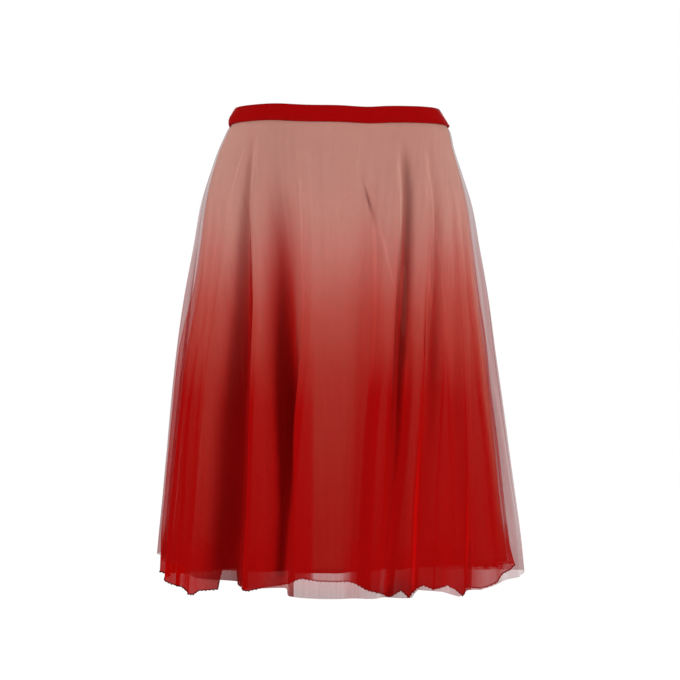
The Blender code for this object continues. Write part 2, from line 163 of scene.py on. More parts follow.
dyedLayer = {
    "node": "dyed_net", "share": 0.94, "room": 1, "raise": 0.0005, "columns": 3.6, "rows": 110,
    "hem": ((-180, 0.574), (-140, 0.579), (-110, 0.576), (-90, 0.568), (-74.5, 0.5705), (-68.8, 0.5775),
            (-62.2, 0.5818), (-57.5, 0.5828), (-54.5, 0.5853), (-51.5, 0.5850), (-49.2, 0.5795),
            (-45.0, 0.578), (-44.6, 0.552), (-42.2, 0.550), (-41.6, 0.575), (-36.0, 0.5765),
            (-33.2, 0.5735), (-29.5, 0.576), (-24, 0.571), (-18, 0.568), (-11.5, 0.5585), (-6, 0.5618),
            (3, 0.5622), (5.8, 0.5652), (9.2, 0.5725), (14.5, 0.578), (17, 0.5825), (19.8, 0.5735),
            (22.5, 0.5832), (25.8, 0.573), (28.2, 0.5688), (30.8, 0.574), (37, 0.5702), (40, 0.5758),
            (42.5, 0.5848), (44.5, 0.5742), (51.2, 0.5772), (62.2, 0.5718), (70, 0.564), (90, 0.556),
            (110, 0.568), (140, 0.572)),
    "ripple": 0.0007,
    "pushes": (
        {"angle": -95.0, "spread": 30.0, "grow": (0.18, 0.30), "fade": (0.50, 0.57), "loss": 0.6,
         "share": 0.90, "by": 0.0},
        {"angle": 92.0, "spread": 28.0, "grow": (0.24, 0.34), "fade": (0.53, 0.565), "loss": 1.0,
         "share": 0.0, "by": -0.0045},
    ),
    "gather": (
        (0, 2.0, 2.0, 3.0), (3.9, 2.0, 2.0, 3.0), (4.2, 0.5, 0.5, 1.8), (4.75, 0.5, 0.5, 1.8),
        (5.1, 0.5, 1.4, 2.4), (5.4, 0.6, 2.4, 4.6), (5.65, 1.8, 2.7, 5.0), (6.1, 2.0, 2.7, 4.6),
        (6.35, 1.2, 1.3, 4.0), (6.55, 1.1, 1.0, 4.4), (6.72, 1.3, 1.5, 4.6), (6.88, 2.2, 2.6, 4.8),
        (7.0, 3.4, 3.6, 5.4), (7.2, 3.0, 3.2, 6.0), (7.35, 1.9, 3.0, 6.4), (7.6, 1.7, 2.5, 6.0),
        (7.8, 2.4, 2.2, 3.8), (8.0, 3.6, 3.4, 3.6), (8.3, 2.6, 3.4, 5.4), (8.5, 1.5, 3.6, 6.0),
        (8.78, 1.25, 3.0, 4.0), (8.86, 1.1, 1.05, 0.7), (9.6, 1.0, 1.0, 0.7), (9.9, 1.3, 1.3, 2.0),
        (10.1, 1.5, 1.6, 6.0), (10.35, 3.0, 2.8, 7.0), (10.75, 3.0, 2.8, 5.0), (11.0, 3.2, 3.0, 3.4),
        (11.3, 2.0, 2.2, 5.0), (11.5, 1.6, 1.9, 6.4), (12.0, 2.8, 2.8, 6.0), (12.6, 2.6, 2.9, 6.4),
        (13.0, 2.6, 3.1, 5.0), (13.5, 2.6, 3.4, 5.4), (14.2, 1.9, 2.2, 2.0), (14.5, 1.5, 1.5, 1.3),
        (14.9, 2.2, 2.0, 1.4), (15.05, 1.8, 1.8, 1.4), (15.2, 0.4, 0.4, 1.2), (16.6, 0.4, 0.4, 1.4),
        (17.0, 2.0, 2.0, 2.6), (21, 2.0, 2.0, 3.0)),
    "laps": (
        {"path": (-58.0, -58.0, -61.0, -66.0, -67.8, -67.3, -66.8),
         "start": 0.04, "reach": 0.20, "half": 4.0, "over": 0.6, "lift": 0.0008, "top": -1},
        {"path": (-52.0, -53.0, -55.8, -56.0, -55.5, -56.0, -55.0),
         "start": 0.01, "reach": 0.14, "half": 3.2, "over": 0.40, "lift": 0.0010, "top": -1},
        {"path": (-42.1, -38.2, -34.4, -32.1, -31.9, -32.3, -32.6),
         "start": 0.04, "reach": 0.14, "half": 4.0, "over": 0.9, "lift": 0.0020, "top": -1},
        {"path": (-26.5, -13.6, -11.8, -11.3, -13.6, -15.4, -14.8),
         "start": 0.00, "reach": 0.11, "half": 4.0, "over": 0.9, "lift": 0.0016, "top": -1},
        {"path": (13.0, 16.9, 17.5, 15.4, 11.7, 9.6, 8.1),
         "start": 0.06, "reach": 0.07, "half": 5.0, "over": 1.0, "lift": 0.0024, "top": -1},
        {"path": (31.3, 31.3, 31.3, 28.7, 24.9, 20.5, 16.9),
         "start": 0.13, "reach": 0.16, "half": 3.0, "over": 0.9, "lift": 0.0018, "top": -1},
        {"path": (38.6, 38.6, 38.6, 36.2, 32.4, 28.6, 25.6),
         "start": 0.14, "reach": 0.16, "half": 3.0, "over": 0.9, "lift": 0.0018, "top": -1},
        {"path": (56.0, 52.5, 47.0, 43.0, 38.5, 34.0, 31.0),
         "start": 0.03, "reach": 0.12, "half": 2.6, "over": 0.5, "lift": 0.0012, "top": 1},
        {"path": (55.6, 55.6, 55.6, 55.2, 50.6, 47.0, 43.6),
         "start": 0.18, "reach": 0.16, "half": 4.0, "over": 0.5, "lift": 0.0010, "top": 1},
        {"path": (104, 112),
         "start": 0.02, "reach": 0.16, "half": 4.0, "over": 0.9, "lift": 0.0020, "top": 1},
        {"path": (121, 127),
         "start": 0.05, "reach": 0.26, "half": 4.4, "over": 0.9, "lift": 0.0020, "top": -1},
        {"path": (138, 144),
         "start": 0.01, "reach": 0.16, "half": 4.0, "over": 0.9, "lift": 0.0020, "top": 1},
        {"path": (157, 160),
         "start": 0.02, "reach": 0.16, "half": 4.6, "over": 0.9, "lift": 0.0020, "top": -1},
        {"path": (-104, -102),
         "start": 0.02, "reach": 0.16, "half": 4.0, "over": 0.9, "lift": 0.0020, "top": -1},
        {"path": (-121, -118),
         "start": 0.01, "reach": 0.16, "half": 4.4, "over": 0.9, "lift": 0.0020, "top": 1},
        {"path": (-140, -133),
         "start": 0.02, "reach": 0.16, "half": 4.0, "over": 0.9, "lift": 0.0020, "top": -1},
        {"path": (-160, -163),
         "start": 0.01, "reach": 0.16, "half": 4.4, "over": 0.9, "lift": 0.0020, "top": 1},
    ),
    # fold edges with extra plies: positive tones are painted highlights along lit ridges, the negative one
    # at the pinch is a painted shadow
    "creaseHighlightsShades": (
        {"path": (-43.5, -39.6, -35.8, -33.5, -33.3, -33.7, -34.0),
         "from": 0.16, "to": 0.60, "half": 0.7, "tone": 0.9},
        {"path": (-19.0, -15.3, -13.4, -12.9, -15.1, -16.9, -16.3),
         "from": 0.12, "to": 0.50, "half": 0.9, "tone": 0.5},
        {"path": (-48.3, -52.5, -56.1, -58.0, -59.0, -60.0, -60.0),
         "from": 0.06, "to": 0.50, "half": 1.1, "tone": 0.2},
        {"path": (12.0, 15.1, 15.7, 13.6, 9.9, 7.8, 6.3),
         "from": 0.18, "to": 0.62, "half": 0.8, "tone": 0.45},
        {"path": (9.6, 15.2, 22.6, 28.0, 28.0, 28.0, 28.0),
         "from": 0.19, "to": 0.38, "half": 1.0, "tone": 0.45},
        {"path": (6.0, 13.6, 22.0, 22.0, 22.0, 22.0, 22.0),
         "from": 0.125, "to": 0.25, "half": 1.2, "tone": -1.5},
        {"path": (29.0, 28.4, 25.1, 22.5, 18.5, 15.5, 13.0),
         "from": 0.16, "to": 0.60, "half": 0.8, "tone": 0.4},
        {"path": (30.0, 30.0, 30.0, 27.6, 23.8, 19.4, 15.8),
         "from": 0.50, "to": 1.20, "half": 0.8, "tone": 1.7},
        {"path": (37.5, 37.5, 37.5, 35.1, 31.3, 27.5, 24.5),
         "from": 0.48, "to": 1.20, "half": 0.8, "tone": 1.7},
        {"path": (57.0, 57.0, 57.0, 56.6, 52.0, 48.4, 45.0),
         "from": 0.60, "to": 1.20, "half": 0.9, "tone": 1.7},
        {"path": (44.0, 43.4, 43.1, 42.0, 38.0, 34.0, 31.0),
         "from": 0.12, "to": 0.55, "half": 0.8, "tone": 0.3},
        {"path": (49.0, 48.0, 47.6, 46.8, 43.0, 39.0, 36.0),
         "from": 0.20, "to": 0.62, "half": 0.8, "tone": 0.3},
    ),
}
outerLayer = {
    "node": "outer_net", "share": 0.88, "room": 2, "raise": 0.0005, "columns": 3.2, "rows": 110,
    "hem": ((-180, 0.578), (-130, 0.568), (-100, 0.552), (-87, 0.543), (-82, 0.5462), (-72, 0.5495),
            (-55.5, 0.5585), (-47, 0.5648), (-38, 0.5712), (-23, 0.5722), (-18, 0.573), (-15.5, 0.5798),
            (-11, 0.5818), (-5.8, 0.583), (23, 0.583), (25.8, 0.5745), (32.8, 0.577), (40.2, 0.585),
            (43, 0.5772), (49.5, 0.5788), (61.5, 0.5712), (77.5, 0.5712), (90, 0.5665), (130, 0.578)),
    "ripple": 0.0008, "creaseHighlightsShades": (),
    "pushes": (
        {"angle": 90.0, "spread": 25.0, "grow": (0.40, 0.54), "fade": (0.54, 0.60), "loss": 0.0,
         "share": 0.0, "by": 0.0036},
    ),
    "gather": ((0, 1.0, 1.0, 1.2), (4.2, 1.0, 1.0, 1.2), (4.8, 1.0, 1.5, 1.7), (5.6, 1.0, 1.4, 1.6),
               (6.2, 1.0, 1.0, 1.4), (6.7, 1.0, 1.0, 2.6), (6.95, 1.0, 1.0, 2.6), (7.3, 1.0, 1.0, 1.4),
               (14.5, 1.0, 1.0, 1.4), (16.0, 1.0, 1.0, 1.0), (21, 1.0, 1.0, 1.2)),
    "laps": (
        {"path": (-26.5, -13.6, -11.8, -11.3, -13.6, -15.4, -14.8),
         "start": 0.40, "reach": 0.14, "half": 4.0, "over": 0.9, "lift": 0.0020, "top": -1},
        {"path": (55.6, 55.6, 55.6, 55.2, 50.6, 47.0, 43.6),
         "start": 0.46, "reach": 0.10, "half": 3.6, "over": 0.8, "lift": 0.0018, "top": 1},
        {"path": (112, 118),
         "start": 0.30, "reach": 0.20, "half": 3.6, "over": 0.8, "lift": 0.0018, "top": 1},
        {"path": (146, 150),
         "start": 0.38, "reach": 0.16, "half": 3.6, "over": 0.8, "lift": 0.0018, "top": -1},
        {"path": (-112, -110),
         "start": 0.36, "reach": 0.18, "half": 3.6, "over": 0.8, "lift": 0.0018, "top": 1},
        {"path": (-150, -146),
         "start": 0.28, "reach": 0.20, "half": 3.6, "over": 0.8, "lift": 0.0018, "top": -1},
    ),
}


def readSmooth(at, xs, ys):
    slopes = np.gradient(ys, xs)
    i = np.clip(np.searchsorted(xs, at) - 1, 0, len(xs) - 2)
    step = xs[i + 1] - xs[i]
    t = np.clip((at - xs[i]) / step, 0.0, 1.0)
    return ((1 + 2 * t) * (1 - t) ** 2 * ys[i] + t * (1 - t) ** 2 * step * slopes[i]
            + t * t * (3 - 2 * t) * ys[i + 1] - t * t * (1 - t) * step * slopes[i + 1])


def readPath(values, level):
    # a value given at even steps from waist to hem
    steps = np.linspace(0.0, 1.0, len(values))
    return float(readSmooth(np.array([level]), steps, np.array(values, dtype=float))[0])


def ease(value, start, end):
    t = np.clip((value - start) / (end - start), 0.0, 1.0)
    return t * t * (3 - 2 * t)


def fluteKnots(level):
    # angle of each trough and crest at this level, with one turn spare on both sides
    count = len(flutes)
    middles = [readPath(flute["path"], level) for flute in flutes]
    crests = [readPath(flute.get("crest", evenCrest), level) for flute in flutes]
    places, angles = [], []
    for k in range(-2, count + 2):
        here = middles[k % count] + 360.0 * (k // count)
        there = middles[(k + 1) % count] + 360.0 * ((k + 1) // count)
        places += [k, k + 0.5]
        angles += [here, here + (there - here) * crests[k % count]]
    return np.array(places), np.array(angles)


def bandEdge(turn):
    # height of the seam under the band: higher at the sides, with a slight wave
    at, wave = np.array(bandShape["wave"]).T
    return bandShape["sideRise"] * np.sin(turn) ** 2 + readSmooth(np.degrees(turn), at, wave)


def rippleRow(turn, height):
    # small waves that fan out down the skirt
    fan = turn * (1.0 + rippleFan["spread"] * np.clip(-height, 0.0, rippleFan["until"]))
    beat = np.sin(rippleFan["beat"] * fan + rippleFan["beatFrom"])
    waves = np.zeros_like(turn)
    for wave in rippleWaves:
        run = wave["round"] * fan + wave["down"] * height + wave["from"]
        waves += wave["size"] * np.sin(run) * (1.0 + wave["beats"] * beat)
    return waves * ease(-height, *hang["ripples"])


def formPoint(layer, angle, level, lift):
    # a row of points of one layer at one level between waist and hem, and its plies
    turn = np.radians(angle)
    hemAngles, hemLengths = zip(*layer["hem"])
    length = np.interp(angle, hemAngles, hemLengths, period=360.0)
    seam = bandEdge(turn)
    top = seam + hang["sewnIn"]
    height = top + (-length - top) * level
    drop = -height
    places, angles = fluteKnots(level)
    place = np.interp(angle, angles, places)
    nearest = np.round(place).astype(int)
    sizes = fluteSizes[nearest % len(flutes)].T
    deepMiddle, deepHem, start, full, narrowTop, narrowHem, pile, tuck, after = sizes
    deep = deepMiddle + (deepHem - deepMiddle) * ease(level, *hang["deepens"])
    narrow = narrowTop + (narrowHem - narrowTop) * ease(level, *hang["narrows"])
    narrow = np.where(place > nearest, narrow * after, narrow)
    shape = (0.5 + 0.5 * np.cos(2 * np.pi * (place - nearest))) ** narrow
    tucked = tuck * ease(level, *hang["tucks"]) * (1.0 - ease(level, *hang["untucks"]))
    trough = layer["share"] * (deep * ease(level, start, full) + tucked) * shape
    heights, *sections = formSections.T
    width, depth, shift, dyedRoom, outerRoom = (readSmooth(height, heights, size) for size in sections)
    part = hang["frontRoom"] + (1.0 - hang["frontRoom"]) * np.sin(turn) ** 2
    room = layer["room"] * hang["step"] + layer["raise"] + lift
    if layer["room"] > 0:
        room = room + part * dyedRoom
    if layer["room"] > 1:
        room = room + part * outerRoom
    for push in layer["pushes"]:
        near = np.exp(-((angle - push["angle"]) / push["spread"]) ** 2)
        grown = ease(drop, *push["grow"]) * (1.0 - push["loss"] * ease(drop, *push["fade"]))
        room = room + (push["share"] * part * outerRoom + push["by"]) * near * grown
    opened = ease(seam - height, *hang["seamOpens"])
    room = room * (hang["seamRoom"] + (1.0 - hang["seamRoom"]) * opened)
    out = room - trough + layer["ripple"] * rippleRow(turn, height)
    counts, *columns = zip(*layer["gather"])
    middle, low, hem = (np.interp(place % len(flutes), counts, column) for column in columns)
    plies = middle + (low - middle) * ease(drop, *hang["gathersLow"])
    plies = plies + (hem - plies) * ease(level, *hang["gathersHem"])
    gather = 1.0 + (plies - 1.0) * ease(drop, *hang["gathers"])
    if layer["room"] > 1:
        bunched = pile * shape * ease(drop, *hang["piles"])
        gather = gather + bunched * (1.0 - hang["thinner"] * ease(level, *hang["pilesThin"]))
    return shift + (width + out) * np.sin(turn), -(depth + out) * np.cos(turn), height, gather


def lapRow(layer, angle, level):
    # moves the cloth sideways and out where it laps over itself
    moved, lift = angle.copy(), np.zeros_like(angle)
    for lap in layer["laps"]:
        grow = float(ease(level * hang["fall"], lap["start"], lap["start"] + lap["reach"]))
        t = np.clip((angle - readPath(lap["path"], level)) / lap["half"], -1.0, 1.0)
        swing = -np.sin(np.pi * t) * (1 - t * t)
        moved += lap["over"] * lap["half"] * grow * swing
        lift += lap["lift"] * grow * (0.5 * (1 - t * t) ** 2 + lap["top"] * swing)
    return moved, lift


def creaseHighlightShadeRow(layer, angle, level):
    # how strongly the crease lines show along a row: their extra plies, and their painted highlight or
    # painted shadow
    tone = np.zeros_like(angle)
    for creaseHighlightShade in layer["creaseHighlightsShades"]:
        comes = ease(level, creaseHighlightShade["from"], creaseHighlightShade["from"] + hang["creaseHighlightShadeIn"])
        goes = ease(level, creaseHighlightShade["to"] - hang["creaseHighlightShadeOut"], creaseHighlightShade["to"])
        t = np.clip((angle - readPath(creaseHighlightShade["path"], level)) / creaseHighlightShade["half"], -1.0, 1.0)
        tone += creaseHighlightShade["tone"] * float(comes * (1.0 - goes)) * (1 - t * t) ** 2
    return tone


def link(piece):
    bpy.context.scene.collection.objects.link(piece)
    return piece


def hangPanel(name, layer, span):
    # one panel of a layer, and the points along its hem
    columns = int(round(abs(span[1] - span[0]) * layer["columns"]))
    rows = layer["rows"]
    bm = bmesh.new()
    bmesh.ops.create_grid(bm, x_segments=columns, y_segments=rows, size=1.0)
    mesh = bpy.data.meshes.new(name)
    bm.to_mesh(mesh)
    bm.free()
    spots = np.zeros(len(mesh.vertices) * 3)
    mesh.vertices.foreach_get("co", spots)
    spots = spots.reshape(-1, 3)
    across = np.round((spots[:, 0] + 1) * 0.5 * columns).astype(int)
    down = np.round((1 - spots[:, 1]) * 0.5 * rows).astype(int)
    angle = np.linspace(span[0], span[1], columns + 1)
    net = np.zeros((rows + 1, columns + 1, 5))
    for r in range(rows + 1):
        level = r / rows
        moved, lift = lapRow(layer, angle, level)
        moved[0], moved[-1] = span
        row = formPoint(layer, moved, level, lift)
        net[r] = np.stack((*row, creaseHighlightShadeRow(layer, moved, level)), axis=1)
    mesh.vertices.foreach_set("co", net[down, across, :3].ravel())
    for i, label in ((3, "plies"), (4, "creaseHighlightShade")):
        kept = mesh.attributes.new(label, "FLOAT", "POINT")
        kept.data.foreach_set("value", net[down, across, i].ravel())
    # two maps in metres: the flat cut, and the place up from the hem
    cut = mesh.uv_layers.new(name="cut")
    place = mesh.uv_layers.new(name="place")
    corner = np.zeros(len(mesh.loops), dtype=int)
    mesh.loops.foreach_get("vertex_index", corner)
    r, c = down[corner], across[corner]
    fan = np.radians(angle[c]) * maps["cutTurn"]
    reach = maps["cutTop"] + maps["cutLength"] * r / rows
    aside = reach * np.sin(fan) * maps["cutWiden"]
    cut.data.foreach_set("uv", np.stack((aside, -reach * np.cos(fan)), axis=1).ravel())
    around = np.radians(angle[c]) * maps["skirtRadius"]
    up = net[r, c, 2] - net[rows, c, 2]
    place.data.foreach_set("uv", np.stack((around, up), axis=1).ravel())
    mesh.shade_smooth()
    mesh.update()
    return link(bpy.data.objects.new(name, mesh)), net[-1, :, :3]


def hangBand():
    # a flat strip bent round the waist, its ends meeting at the centre back
    bm = bmesh.new()
    bmesh.ops.create_grid(bm, x_segments=bandShape["columns"], y_segments=bandShape["rows"], size=1.0)
    gap = bandShape["endGap"] / 2 / bandShape["lower"][1]
    for vert in bm.verts:
        turn = vert.co.x * (math.pi - gap)
        up = (vert.co.y + 1) / 2
        width = bandShape["lower"][0] + (bandShape["upper"][0] - bandShape["lower"][0]) * up
        depth = bandShape["lower"][1] + (bandShape["upper"][1] - bandShape["lower"][1]) * up
        height = float(bandEdge(np.array([turn]))[0]) + bandShape["height"] * up
        rise = math.sin(math.pi / 2 * min(1.0, up / bandShape["bulgeFull"]))
        beside = max(0.0, -math.sin(turn)) ** bandShape["bulgeFocus"]  # at one side only
        bulge = bandShape["bulge"] * rise * beside
        vert.co = ((width + bulge) * math.sin(turn), -depth * math.cos(turn), height)
    placeMap = bm.loops.layers.uv.new("place")
    for face in bm.faces:
        for loop in face.loops:
            x, y, z = loop.vert.co
            turn = math.atan2(x, -y)
            loop[placeMap].uv = (turn * maps["bandRadius"], z - float(bandEdge(np.array([turn]))[0]))
    mesh = bpy.data.meshes.new("waistBand")
    bm.to_mesh(mesh)
    bm.free()
    mesh.shade_smooth()
    band = link(bpy.data.objects.new("waistBand", mesh))
    wall = band.modifiers.new("Wall", "SOLIDIFY")
    wall.thickness = bandShape["thickness"]
    wall.offset = 1.0
    soft = band.modifiers.new("Soft edges", "BEVEL")
    soft.width = bandShape["edge"]
    soft.segments = 3
    soft.limit_method = "ANGLE"
    soft.angle_limit = math.radians(50)
    return band


edging = {"thread": 0.0007, "step": 0.0011, "pitch": 0.0049, "drop": 0.0011, "sharp": 4, "swell": 0.45}


def edgeHem(name, hem):
    # overlocked edge with small picots, sewn along a net's hem
    steps = np.concatenate(([0.0], np.cumsum(np.linalg.norm(np.diff(hem, axis=0), axis=1))))
    count = int(steps[-1] / edging["step"])
    at = np.linspace(0.0, steps[-1], count)
    spots = np.stack([np.interp(at, steps, hem[:, i]) for i in range(3)], axis=1)
    tooth = np.clip(np.cos(2 * np.pi * at / edging["pitch"]), 0.0, 1.0) ** edging["sharp"]
    path = bpy.data.curves.new(name, "CURVE")
    path.dimensions = "3D"
    path.bevel_depth = edging["thread"]
    path.bevel_resolution = 1
    path.use_fill_caps = True
    line = path.splines.new("POLY")
    line.points.add(count - 1)
    for point, spot, peak in zip(line.points, spots, tooth):
        point.co = (spot[0], spot[1], spot[2] - edging["drop"] * peak, 1.0)
        point.radius = 1.0 + edging["swell"] * peak
    sewn = bpy.data.objects.new(name, path)
    mesh = bpy.data.meshes.new_from_object(sewn)
    bpy.data.objects.remove(sewn)
    mesh.shade_smooth()
    return link(bpy.data.objects.new(name, mesh))


# Materials


def addNode(tree, kind, **values):
    node = tree.nodes.new(kind)
    for key, value in values.items():
        setattr(node, key, value)
    return node


def calc(tree, operation, a, b=None, c=None):
    node = addNode(tree, "ShaderNodeMath", operation=operation)
    for socket, value in zip(node.inputs, (a, b, c)):
        if value is None:
            continue
        if isinstance(value, (int, float)):
            socket.default_value = value
        else:
            tree.links.new(value, socket)
    return node.outputs[0]


def blendColour(tree, amount, first, second):
    node = addNode(tree, "ShaderNodeMix", data_type="RGBA")
    tree.links.new(amount, node.inputs["Factor"])
    for socket, value in ((node.inputs[6], first), (node.inputs[7], second)):
        if isinstance(value, tuple):
            socket.default_value = value
        else:
            tree.links.new(value, socket)
    return node.outputs[2]


def spread(tree, value, low, high, toLow=0.0, toHigh=1.0, kind="SMOOTHSTEP"):
    node = addNode(tree, "ShaderNodeMapRange", interpolation_type=kind)
    tree.links.new(value, node.inputs["Value"])
    for socket, given in zip(("From Min", "From Max", "To Min", "To Max"), (low, high, toLow, toHigh)):
        if isinstance(given, (int, float)):
            node.inputs[socket].default_value = given
        else:
            tree.links.new(given, node.inputs[socket])
    return node.outputs["Result"]


def readMap(tree, name):
    # one of the two maps, whole and as its two directions
    node = addNode(tree, "ShaderNodeUVMap", uv_map=name)
    apart = tree.nodes.new("ShaderNodeSeparateXYZ")
    tree.links.new(node.outputs["UV"], apart.inputs[0])
    return node.outputs["UV"], apart.outputs["X"], apart.outputs["Y"]


def addNoise(tree, vector, stretch, scale, detail):
    # soft noise round zero, stretched in each direction
    mapping = addNode(tree, "ShaderNodeMapping")
    mapping.inputs["Scale"].default_value = stretch
    tree.links.new(vector, mapping.inputs["Vector"])
    noise = addNode(tree, "ShaderNodeTexNoise")
    noise.inputs["Scale"].default_value = scale
    noise.inputs["Detail"].default_value = detail
    tree.links.new(mapping.outputs["Vector"], noise.inputs["Vector"])
    return calc(tree, "SUBTRACT", noise.outputs["Fac"], 0.5)


def newGroup(name, inputs, outputs):
    group = bpy.data.node_groups.new(name, "ShaderNodeTree")
    for label, kind, value in inputs:
        socket = group.interface.new_socket(name=label, in_out="INPUT", socket_type=kind)
        socket.default_value = value
    for label, kind in outputs:
        group.interface.new_socket(name=label, in_out="OUTPUT", socket_type=kind)
    return group, group.nodes.new("NodeGroupInput"), group.nodes.new("NodeGroupOutput")


def buildDipDye():
    # colour by the drop below the waist: waist to middle tone from Start to Middle, and on to the hem's
    # from Deepen to End, with a soft uneven front that creeps up and down
    group, given, result = newGroup("dipDye", (
        ("Waist Colour", "NodeSocketColor", (0.7, 0.4, 0.3, 1.0)),
        ("Middle Colour", "NodeSocketColor", (0.5, 0.1, 0.1, 1.0)),
        ("Hem Colour", "NodeSocketColor", (0.3, 0.01, 0.01, 1.0)),
        ("Start", "NodeSocketFloat", 0.02),
        ("Middle", "NodeSocketFloat", 0.25),
        ("Deepen", "NodeSocketFloat", 0.25),
        ("End", "NodeSocketFloat", 0.42),
        ("Creep", "NodeSocketFloat", 0.088)),
        (("Colour", "NodeSocketColor"),))
    place = group.nodes.new("ShaderNodeTexCoord")
    apart = group.nodes.new("ShaderNodeSeparateXYZ")
    group.links.new(place.outputs["Object"], apart.inputs[0])
    uneven = addNoise(group, place.outputs["Object"], stretch=(1.0, 1.0, 0.3), scale=14.0, detail=3.0)
    crept = calc(group, "MULTIPLY", uneven, given.outputs["Creep"])
    drop = calc(group, "MULTIPLY_ADD", apart.outputs["Z"], -1.0, crept)
    upper = spread(group, drop, given.outputs["Start"], given.outputs["Middle"])
    lower = spread(group, drop, given.outputs["Deepen"], given.outputs["End"])
    first = blendColour(group, upper, given.outputs["Waist Colour"], given.outputs["Middle Colour"])
    group.links.new(blendColour(group, lower, first, given.outputs["Hem Colour"]), result.inputs["Colour"])
    return group


def buildNetMesh():
    # crossing threads of a fine net, from the flat cut's own map in metres
    group, given, result = newGroup("netMesh", (
        ("Cell", "NodeSocketFloat", 0.0016),
        ("Thread", "NodeSocketFloat", 0.16),
        ("Hole Cover", "NodeSocketFloat", 0.5),
        ("Streak", "NodeSocketFloat", 0.3)),
        (("Cover", "NodeSocketFloat"),))
    cut, aside, along = readMap(group, "cut")
    threadRuns = ((1.0, 0.58), (1.0, -0.58), (0.0, 1.16))  # slanting both ways, and across
    lines = []
    for mixU, mixV in threadRuns:
        run = calc(group, "ADD", calc(group, "MULTIPLY", aside, mixU), calc(group, "MULTIPLY", along, mixV))
        cell = calc(group, "FRACT", calc(group, "DIVIDE", run, given.outputs["Cell"]))
        away = calc(group, "ABSOLUTE", calc(group, "SUBTRACT", cell, 0.5))
        edge = calc(group, "SUBTRACT", 0.5, given.outputs["Thread"])
        lines.append(spread(group, away, edge, 0.5))
    thread = calc(group, "MAXIMUM", calc(group, "MAXIMUM", lines[0], lines[1]), lines[2])
    streak = addNoise(group, cut, stretch=(150.0, 7.0, 1.0), scale=1.0, detail=2.0)
    uneven = calc(group, "MULTIPLY_ADD", streak, given.outputs["Streak"], 1.0)
    cover = spread(group, thread, 0.0, 1.0, given.outputs["Hole Cover"], 1.0, "LINEAR")
    group.links.new(calc(group, "MULTIPLY", cover, uneven), result.inputs["Cover"])
    return group


def buildSeamLine():
    # mask of the side and back seams, from the map that runs round the skirt in metres
    group, given, result = newGroup("seamLine", (
        ("Half Width", "NodeSocketFloat", 0.0012),),
        (("Mask", "NodeSocketFloat"),))
    place, around, up = readMap(group, "place")
    run = calc(group, "ABSOLUTE", around)
    side = calc(group, "ABSOLUTE", calc(group, "SUBTRACT", run, math.pi / 2 * maps["skirtRadius"]))
    back = calc(group, "ABSOLUTE", calc(group, "SUBTRACT", run, math.pi * maps["skirtRadius"]))
    near = calc(group, "MINIMUM", side, back)
    feather = 1.6
    far = calc(group, "MULTIPLY", given.outputs["Half Width"], feather)
    group.links.new(spread(group, near, given.outputs["Half Width"], far, 1.0, 0.0), result.inputs["Mask"])
    return group


def buildWeave():
    # plain weave with slubs for the opaque cloths, from the map that runs round in metres
    group, given, result = newGroup("plainWeave", (
        ("Pitch", "NodeSocketFloat", 0.0006), ("Slub", "NodeSocketFloat", 0.4)),
        (("Height", "NodeSocketFloat"), ("Tone", "NodeSocketFloat")))
    place, around, up = readMap(group, "place")
    waves = []
    for way in (around, up):
        run = calc(group, "DIVIDE", way, given.outputs["Pitch"])
        turn = calc(group, "MULTIPLY", run, math.pi)
        waves.append(calc(group, "SINE", turn))
    weave = calc(group, "MULTIPLY", waves[0], waves[1])
    uneven = addNoise(group, place, stretch=(1.0, 0.12, 1.0), scale=420.0, detail=2.0)
    for base, label in ((weave, "Height"), (1.0, "Tone")):
        raised = calc(group, "MULTIPLY_ADD", uneven, given.outputs["Slub"], base)
        group.links.new(raised, result.inputs[label])
    return group


def useGroup(tree, group, **values):
    node = addNode(tree, "ShaderNodeGroup", node_tree=group)
    for label, value in values.items():
        node.inputs[label.replace("_", " ")].default_value = value
    return node


def newMaterial(name, roughness, gloss):
    material = bpy.data.materials.new(name)
    material.use_nodes = True
    shader = material.node_tree.nodes["Principled BSDF"]
    shader.inputs["Roughness"].default_value = roughness
    shader.inputs["Specular IOR Level"].default_value = gloss
    return material, material.node_tree, shader


def tint(colour):
    return (*colour, 1.0)


# the crease strength in each look is how strongly a crease's tone paints highlight and shadow into the
# net's colour
netLooks = {
    "dyedNet": {"waist": (0.62, 0.40, 0.335), "middle": (0.47, 0.11, 0.082), "hem": (0.335, 0.0014, 0.0009),
                "start": 0.08, "mid": 0.25, "deepen": 0.20, "end": 0.36, "cover": 0.56, "edgeCover": 0.92,
                "rim": 0.0, "creaseHighlightShadeStrength": 0.5, "cell": 0.0015},
    "outerNet": {"waist": (0.19, 0.020, 0.018), "middle": (0.29, 0.003, 0.003), "hem": (0.14, 0.004, 0.004),
                 "start": 0.03, "mid": 0.20, "deepen": 0.555, "end": 0.59, "cover": 0.53, "edgeCover": 0.20,
                 "rim": 0.4, "creaseHighlightShadeStrength": 0.0, "cell": 0.0017},
}
netWeave = {"thread": 0.16, "hole": 0.62, "streak": 0.2, "seam": 0.0010, "seamCover": 0.75, "slant": 2.2,
            "rimFrom": (0.85, 0.97), "pressed": 2.5, "strength": 1.25, "most": 0.995}


def dye(tree, dipDye, look):
    return useGroup(tree, dipDye, Waist_Colour=tint(look["waist"]), Middle_Colour=tint(look["middle"]),
                    Hem_Colour=tint(look["hem"]), Start=look["start"], Middle=look["mid"],
                    Deepen=look["deepen"], End=look["end"])


def scaleColour(tree, colour, amount):
    node = addNode(tree, "ShaderNodeVectorMath", operation="SCALE")
    if isinstance(colour, tuple):
        node.inputs[0].default_value = colour
    else:
        tree.links.new(colour, node.inputs[0])
    tree.links.new(amount, node.inputs["Scale"])
    return node.outputs[0]


def addBump(tree, height, strength, shader):
    bump = addNode(tree, "ShaderNodeBump")
    bump.inputs["Strength"].default_value = strength
    bump.inputs["Distance"].default_value = 0.0002
    tree.links.new(height, bump.inputs["Height"])
    tree.links.new(bump.outputs["Normal"], shader.inputs["Normal"])


